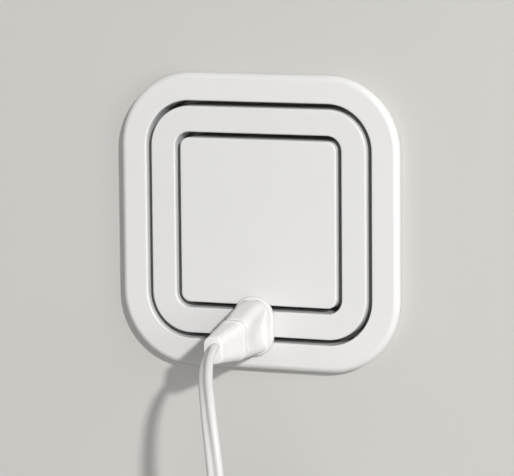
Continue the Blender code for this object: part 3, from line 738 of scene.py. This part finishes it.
def plug_shell():
    """The moulded plug: a flange, then a body that tapers and leans down to the relief."""
    root = []
    for i in range(1, 9):
        a = math.radians(11.25 * i)
        inward, out = math.sin(a), 1 - math.cos(a)
        sides = (6.75 - 0.35 * inward, 10.95 - 0.35 * inward, 5.1 - 0.5 * inward)
        root.append((FLANGE_THICK - FLANGE_DISH + out, *sides, 1.0 + 0.08 * out, 1.7 + 0.7 * inward))
    # Distance from the face, half width, half height, corner, drop and hollow, in millimetres
    body = smooth_values(
        [
            root[-1],
            (4.5, 6.34, 10.5, 4.5, 1.15, 2.42),
            (7.0, 6.26, 10.25, 4.4, 1.33, 2.2),
            (10.0, 6.12, 9.8, 4.3, 1.6, 1.75),
            (14.0, 5.95, 9.25, 4.2, 2.1, 0.95),
            (17.5, 5.75, 8.7, 4.1, 2.6, 0.35),
            (20.2, 5.45, 8.15, 3.9, 2.98, 0.1),
            (20.7, 5.2, 7.9, 3.8, 3.05, 0.05),
            (21.0, 4.8, 7.5, 3.5, 3.1, 0.0),
        ],
        40,
    )
    inside = [
        (21.0, 2.2, 3.5, 1.2, 3.1),
        (10.0, 2.3, 6.6, 1.2, 0.3),
        (1.7, 2.3, 7.4, 1.2, 0.0),
        (1.7, 4.4, 8.2, 1.2, 0.0),
        (0.0, 4.4, 8.2, 1.2, 0.0),
    ]
    loops = [plug_loop(*section) for section in plug_rim() + root + body[1:] + inside]
    stand_in(add_mesh("plug_body", loft(loops, ring=True), GLOSS, "plug", 50), "plug_shell")


def grooves(start, end, ribs, depth, steps=10):
    """Stations along a relief as (distance, share of the way, groove's depth there)."""
    found = []
    for i in range(ribs * steps + 1):
        groove = max(0.0, math.cos(2 * math.pi * i / steps)) ** 2 * depth
        share = i / (ribs * steps)
        found.append((start + (end - start) * share, share, groove))
    return found


def strain_relief():
    """A smooth collar, then a ribbed cone that closes round the flat cord at its tip."""
    collar = [
        (21.3, 5.1, 7.4, 3.6, 3.2),
        (21.4, 5.4, 7.75, 3.8, 3.2),
        (21.8, 5.65, 8.0, 3.9, 3.2),
        (22.4, 5.7, 8.05, 3.9, 3.2),
        (24.4, 5.7, 8.05, 3.9, 3.2),
        (24.9, 5.6, 7.95, 3.9, 3.22),
        (25.2, 5.35, 7.65, 3.8, 3.25),
    ]
    cone = []
    for distance, share, groove in grooves(25.3, 43.2, 7, 0.15):
        sides = (5.55 - 1.55 * share - groove, 7.65 - 2.15 * share - groove)
        cone.append((distance, *sides, 3.8 - 0.4 * share, 3.25 + 0.65 * share))
    tip = [(43.5, 3.92, 5.42, 3.3, 3.9), (43.8, 3.78, 5.28, 3.2, 3.9), (44.0, 3.5, 5.0, 3.0, 3.9)]
    lean = math.atan2(LEAD[0][1][0], LEAD[0][1][2])
    tunnel = [(44.0, 1.75, 3.36, 1.7, 3.9, 0.8, lean), (42.0, 1.75, 3.36, 1.7, 3.9, 0.8, lean)]
    tunnel += [(41.0, 1.3, 2.9, 1.2, 3.87, 0.0, lean), (21.3, 1.7, 3.2, 0.8, 3.15)]
    loops = [plug_loop(*section) for section in collar + cone + tip + tunnel]
    stand_in(add_mesh("plug_strain_relief", loft(loops, ring=True), RELIEF, "plug", 50), "strain_relief")


def blades():
    """Two flat blades, each with a pierced and bevelled tip and a crimped tail in the plug."""
    for pole, box in (("neutral", NEUTRAL), ("live", LIVE)):
        inward = -1 if pole == "neutral" else 1
        z = -(INNER_SLOT if pole == "neutral" else OUTER_SLOT)
        tip = box[1].y
        half_x = (box[1].x - box[0].x) / 2
        sections = [
            (half_x - 1.5 * MM, 0.25 * MM, tip, 0.0),
            (half_x - 1.1 * MM, 0.40 * MM, tip - 0.12 * MM, 0.0),
            (half_x - 0.5 * MM, 0.66 * MM, tip - 0.75 * MM, 0.0),
            (half_x - 0.15 * MM, 0.75 * MM, tip - 1.4 * MM, 0.0),
            (half_x, 0.75 * MM, tip - 2.2 * MM, 0.0),
            (half_x, 0.75 * MM, PLUG_FACE_Y - 1.1 * MM, 0.0),
            (1.6 * MM, 0.75 * MM, PLUG_FACE_Y - 1.4 * MM, 0.0),
            (1.6 * MM, 0.75 * MM, PLUG_FACE_Y - 6.2 * MM, 0.0),
            (1.6 * MM, 0.60 * MM, PLUG_FACE_Y - 9.4 * MM, 1.6 * MM * inward),
        ]
        loops = [
            upright_loop(hx, hz, 0.22 * MM, (PLUG_X, z + shift), y, 4) for hx, hz, y, shift in sections
        ]
        hole = bmesh.new()
        bmesh.ops.create_cone(
            hole, cap_ends=True, segments=32, radius1=1.6 * MM, radius2=1.6 * MM, depth=6 * MM
        )
        bmesh.ops.translate(hole, vec=(PLUG_X, tip - 4 * MM, z), verts=hole.verts)
        piece = add_mesh(f"plug_blade_{pole}", carve(loft(loops), [hole]), NICKEL, "plug", 30)
        stand_in(piece, f"blade_{pole}")


# --- The cord -------------------------------------------------------------------------------


def hank_radii(offset):
    """The waist flare's and the end loop's radii on a lane, by its offset from the first."""
    return FLARE - offset, LOOP + offset


def hank_point(turn, offset):
    """A point on a turn, by its share from the left waist, down, round and back again."""
    side = STRAND + FLARE
    flare, end = hank_radii(offset)
    lengths = [FLARE * LEAN, LOOP * (math.pi + 2 * LEAN), 2 * FLARE * LEAN]
    lengths += [LOOP * (math.pi + 2 * LEAN), FLARE * LEAN]
    at = turn * sum(lengths)
    part = 0
    while part < 4 and at > lengths[part]:
        at -= lengths[part]
        part += 1
    share = at / lengths[part]
    if part == 0:
        angle, centre, radius = -LEAN * share, (-side, 0.0), flare
    elif part == 1:
        angle = math.pi - LEAN + share * (math.pi + 2 * LEAN)
        centre, radius = (0.0, -LOOP_RISE), end
    elif part == 2:
        angle, centre, radius = math.pi + LEAN - 2 * LEAN * share, (side, 0.0), flare
    elif part == 3:
        angle = -LEAN + share * (math.pi + 2 * LEAN)
        centre, radius = (0.0, LOOP_RISE), end
    else:
        angle, centre, radius = LEAN * (1 - share), (-side, 0.0), flare
    return centre[0] + radius * math.cos(angle), centre[1] + radius * math.sin(angle)


def ease(share):
    """A smooth step from 0 to 1."""
    share = min(max(share, 0.0), 1.0)
    return share**2 * (3 - 2 * share)


def hank_place(turns):
    """Lane and layer of the wound cord after so many turns, counted from the left waist.

    The lanes go 0, 1, 2 in the front layer. On its bottom bend the third turn moves to the
    back layer, and from there the cord comes back in a lane at a time.
    """
    lane = ease((turns - 0.25) / 0.5) + ease((turns - 1.25) / 0.5)
    lane -= ease((turns - 2.75) / 0.5) + ease((turns - 3.75) / 0.5)
    layer = 2 * ease((turns - 2.03) / 0.44) - 1
    return lane, layer


def hank_route():
    """Places on the wound cord's middle, with the lobes one behind the other."""
    places = []
    for i in range(HANK_TURNS * TURN_STEPS + 1):
        turns = i / TURN_STEPS
        lane, layer = hank_place(turns)
        x, z = hank_point(turns % 1.0, lane * LANE_PITCH)
        y = HANK_Y + layer * LAYER_PITCH / 2
        places.append((Vector((HANK_X + x, y, HANK_MID + z)), Vector((0.0, 1.0, 0.0))))
    return places


def smooth_route(knots, step=1.5 * MM):
    """Places and lobe directions on a smooth curve through the knots."""
    points = [Vector(p) for p, _ in knots]
    wides = [Vector(w).normalized() for _, w in knots]
    points = [2 * points[0] - points[1], *points, 2 * points[-1] - points[-2]]
    wides = [wides[0], *wides, wides[-1]]
    route = []
    for i in range(1, len(points) - 2):
        a, b, c, d = points[i - 1 : i + 3]
        e, f, g, h = wides[i - 1 : i + 3]
        pieces = max(2, round((c - b).length / step))
        for j in range(pieces):
            t = j / pieces
            place = spline_value(a, b, c, d, t)
            route.append((place, spline_value(e, f, g, h, t).normalized()))
    route.append((points[-2], wides[-2]))
    return route


def spline_value(a, b, c, d, t):
    """A smooth curve from b to c, steered by a and d."""
    pull = (c - a) * t + (2 * a - 5 * b + 4 * c - d) * t**2 + (3 * b - a - 3 * c + d) * t**3
    return b + pull / 2


def cord_route():
    """The lead down to the hank's waist, the wound turns, and the tail to the connector."""
    wound = hank_route()
    lead = [(Vector(p) * MM, w) for p, w in LEAD]
    tail = [(Vector(p) * MM, w) for p, w in TAIL_ROUTE]
    down = smooth_route([*lead, wound[0], wound[3]])[:-2]
    out = smooth_route([wound[-4], wound[-1], *tail])
    return down + wound[1:-1] + out[2:]


def cord_section():
    """The twin cord's outline as (along the wide direction, across it) pairs."""
    crease = [(0.42 * MM, 1.40 * MM), (0.0, 1.33 * MM), (-0.42 * MM, 1.40 * MM)]
    outline = arc((LOBE_APART, 0.0), LOBE, -LOBE_SWEEP, LOBE_SWEEP, 14) + crease
    return outline + [(-wide, -across) for wide, across in outline]


def sweep(route, outline):
    """Skin an outline along a route of places and wide directions."""
    loops = []
    for i, (place, wide) in enumerate(route):
        before = route[max(i - 1, 0)][0]
        after = route[min(i + 1, len(route) - 1)][0]
        tangent = (after - before).normalized()
        wide = (wide - tangent * wide.dot(tangent)).normalized()
        thin = tangent.cross(wide)
        loops.append([place + wide * u + thin * v for u, v in outline])
    return loft(loops)


def cord():
    route = cord_route()
    piece = add_mesh("lead_cord", sweep(route, cord_section()), CORD_PVC, "plug", 60, False)
    stand_in(piece, "cord", "cord_hank", "cord_tail")
    return piece, [tuple(place) for place, _ in route]


# --- The tie and the connector --------------------------------------------------------------


def tie():
    """A hook-and-loop strap wrapped round the hank's waist, with its end lapped over the front."""
    low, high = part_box("hank_tie")
    centre = ((low.x + high.x) / 2, (low.y + high.y) / 2)
    outer = ((high.x - low.x) / 2, (high.y - low.y) / 2)
    half = (high.z - low.z) / 2
    middle = (high.z + low.z) / 2
    thick = 1.2 * MM
    edge = 0.35 * MM
    section = [(thick, -half)]
    section += [(edge - edge * math.sin(a), -half + edge * (1 - math.cos(a))) for a in QUARTER]
    section += [(inset, -rise) for inset, rise in reversed(section)]
    loops = []
    for inset, rise in section:
        sides = (outer[0] - inset, outer[1] - inset)
        loops.append(level_loop(*sides, 1.7 * MM - inset, centre, middle + rise))
    band = loft(loops, ring=True)
    lap = bevelled_box(
        (centre[0] - 8.0 * MM, low.y - 1.0 * MM, middle - half + 0.4 * MM),
        (centre[0] + 9.5 * MM, low.y + 0.3 * MM, middle + half - 0.4 * MM),
        0.45 * MM,
    )
    piece = add_mesh("hank_strap", join([band, lap]), TIE, "plug", 50)
    stand_in(piece, "hank_tie")
    return piece


def connector():
    """A generic two-pole appliance connector with a ribbed relief, ribbed grips and two bores."""
    low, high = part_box("connector_body")
    centre = ((low.x + high.x) / 2, (low.y + high.y) / 2)
    grip = [(0.0, 7.6, 4.3), (0.25, 8.0, 4.7), (0.9, 8.7, 5.1), (1.9, 9.5, 5.55), (4.0, 9.9, 5.72)]
    for distance, _, groove in grooves(5.0, 11.0, 5, 0.22):
        grip.append((distance, 10.0 - groove, 5.75 - groove))
    grip += [(12.0, 9.75, 5.62), (12.6, 9.5, 5.4), (13.2, 9.4, 5.3), (22.2, 9.4, 5.3)]
    grip += [(22.7, 9.25, 5.15), (23.0, 8.9, 4.8)]
    loops = []
    for down, half_x, half_y in grip:
        size = (half_x * MM, half_y * MM, (half_y - 0.3) * MM)
        loops.append(level_loop(*size, centre, high.z - down * MM, 10))
    bores = []
    for side in (-1, 1):
        place = (centre[0] + side * PIN_PITCH / 2, centre[1])
        stations = [(2.7, -1.0), (2.45, 0.0), (2.1, 0.45), (2.1, 16.0)]
        rings = [
            level_loop(r * MM, r * MM, r * MM - 1e-6, place, low.z + rise * MM, 8)
            for r, rise in stations
        ]
        bores.append(loft(rings))
    body = add_mesh("connector_shell", carve(loft(loops), bores), GLOSS, "plug", 40)
    stand_in(body, "connector_body")

    low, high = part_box("connector_relief")
    cone = [(0.0, 3.5, 2.15), (0.2, 3.75, 2.45), (0.6, 3.9, 2.6)]
    for down, share, groove in grooves(0.8, 12.4, 5, 0.3):
        cone.append((down, 4.0 + 2.1 * share - groove, 2.7 + 1.5 * share - groove))
    cone += [(12.9, 6.35, 4.3), (14.0, 6.6, 4.4)]
    loops = []
    for down, half_x, half_y in cone:
        size = (half_x * MM, half_y * MM, (half_y - 0.1) * MM)
        loops.append(level_loop(*size, centre, high.z - down * MM, 10))
    relief = add_mesh("connector_strain_relief", loft(loops), RELIEF, "plug", 50)
    stand_in(relief, "connector_relief")
    return [body, relief]


# --- Camera, wall and light -----------------------------------------------------------------

LENS = 211.02
EYE_AT = (0.445006, -1.119429, 0.154242)
EYE_TURN = (21.813, 7.626, -0.488)  # azimuth, elevation and roll in degrees
WALL_HALF = 1.6
HOLE_HALF = BODY_OUT + 0.5 * MM
SUN_ENERGY = 2.45
SUN_ANGLE = 2.6
SUN_TOWARDS = (-0.77, 1.0, -0.455)
WORLD_STRENGTH = 0.15
# Name, degrees to the right of straight ahead, degrees up, power and distance
SOFTBOXES = [
    ("front_softbox", 12, 2, 2.4, 1.5),
    ("right_softbox", 58, 8, 0.95, 0.6),
    ("left_softbox", -50, 20, 1.6, 1.5),
    ("lower_softbox", 10, -45, 1.4, 1.5),
    ("rear_softbox", 205, 30, 22.0, 1.5),
]


def camera():
    """A long lens from the upper right, level but for half a degree of roll."""
    data = bpy.data.cameras.new("camera")
    data.lens = LENS
    data.sensor_width = 36.0
    data.clip_start = 0.05
    eye = bpy.data.objects.new("camera", data)
    azimuth, elevation, roll = (math.radians(a) for a in EYE_TURN)
    back = Vector(
        (
            math.sin(azimuth) * math.cos(elevation),
            -math.cos(azimuth) * math.cos(elevation),
            math.sin(elevation),
        )
    )
    right = Vector((0, 0, 1)).cross(back).normalized()
    up = back.cross(right)
    rolled = right * math.cos(roll) + up * math.sin(roll)
    up = up * math.cos(roll) - right * math.sin(roll)
    turn = Matrix((rolled, up, back)).transposed()
    eye.matrix_world = Matrix.Translation(EYE_AT) @ turn.to_4x4()
    bpy.context.collection.objects.link(eye)
    bpy.context.scene.camera = eye


def wall():
    """A sheet in the plane y = 0, facing the room, with a hole for the outlet's body."""
    bm = bmesh.new()
    loops = [square_loop(half, 0.0) for half in (WALL_HALF, HOLE_HALF)]
    edge, hole = [[bm.verts.new(point) for point in loop] for loop in loops]
    for i in range(len(edge)):
        j = (i + 1) % len(edge)
        bm.faces.new((edge[i], edge[j], hole[j], hole[i]))
    mesh = bpy.data.meshes.new("wall")
    bm.to_mesh(mesh)
    bm.free()
    mesh.materials.append(wall_with_painted_glow())
    sheet = bpy.data.objects.new("wall", mesh)
    bpy.context.collection.objects.link(sheet)


def softbox(name, azimuth, elevation, power, distance):
    """A round soft light aimed at the plate, turned from straight ahead to the right and up."""
    azimuth, elevation = math.radians(azimuth), math.radians(elevation)
    level = distance * math.cos(elevation)
    height = distance * math.sin(elevation)
    place = (level * math.sin(azimuth), -level * math.cos(azimuth), height)
    data = bpy.data.lights.new(name, "AREA")
    data.shape = "DISK"
    data.size = 0.6 * distance
    data.energy = power
    lamp = bpy.data.objects.new(name, data)
    lamp.location = place
    lamp.rotation_mode = "QUATERNION"
    lamp.rotation_quaternion = (-Vector(place)).to_track_quat("-Z", "Y")
    bpy.context.collection.objects.link(lamp)


def lights():
    """A hard key from the upper right, soft fill all round and a faint white room."""
    key = bpy.data.lights.new("key", "SUN")
    key.energy = SUN_ENERGY
    key.angle = math.radians(SUN_ANGLE)
    sun = bpy.data.objects.new("key", key)
    sun.rotation_mode = "QUATERNION"
    sun.rotation_quaternion = Vector(SUN_TOWARDS).to_track_quat("-Z", "Y")
    bpy.context.collection.objects.link(sun)
    for box in SOFTBOXES:
        softbox(*box)
    world = bpy.data.worlds.new("studio")
    world.use_nodes = True
    background = world.node_tree.nodes["Background"]
    background.inputs["Color"].default_value = (1.0, 1.0, 1.0, 1.0)
    background.inputs["Strength"].default_value = WORLD_STRENGTH
    bpy.context.scene.world = world
    bpy.context.scene.view_settings.view_transform = "Standard"


def dress(material, *nodes):
    """Give carried-over CAD nodes a finished material."""
    for node in nodes:
        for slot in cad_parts[node].material_slots:
            slot.material = material


camera()
wall()
lights()
face_pieces()
housing()
slot_guides()
steel_frame()
rear_cover()
screws()
plug_shell()
strain_relief()
blades()
lead, lead_path = cord()
strap = tie()
connector_pieces = connector()
dress(TINNED, "live_rail", "neutral_rail")
dress(BRASS, *[f"{pole}_{part}" for pole in ("live", "neutral") for part in ("link", "terminal")])
dress(NICKEL, "connector_contact_live", "connector_contact_neutral")
dress(INSERT, "plug_insert", "plug_wire_neutral")
dress(CORE_BLACK, "plug_wire_live")
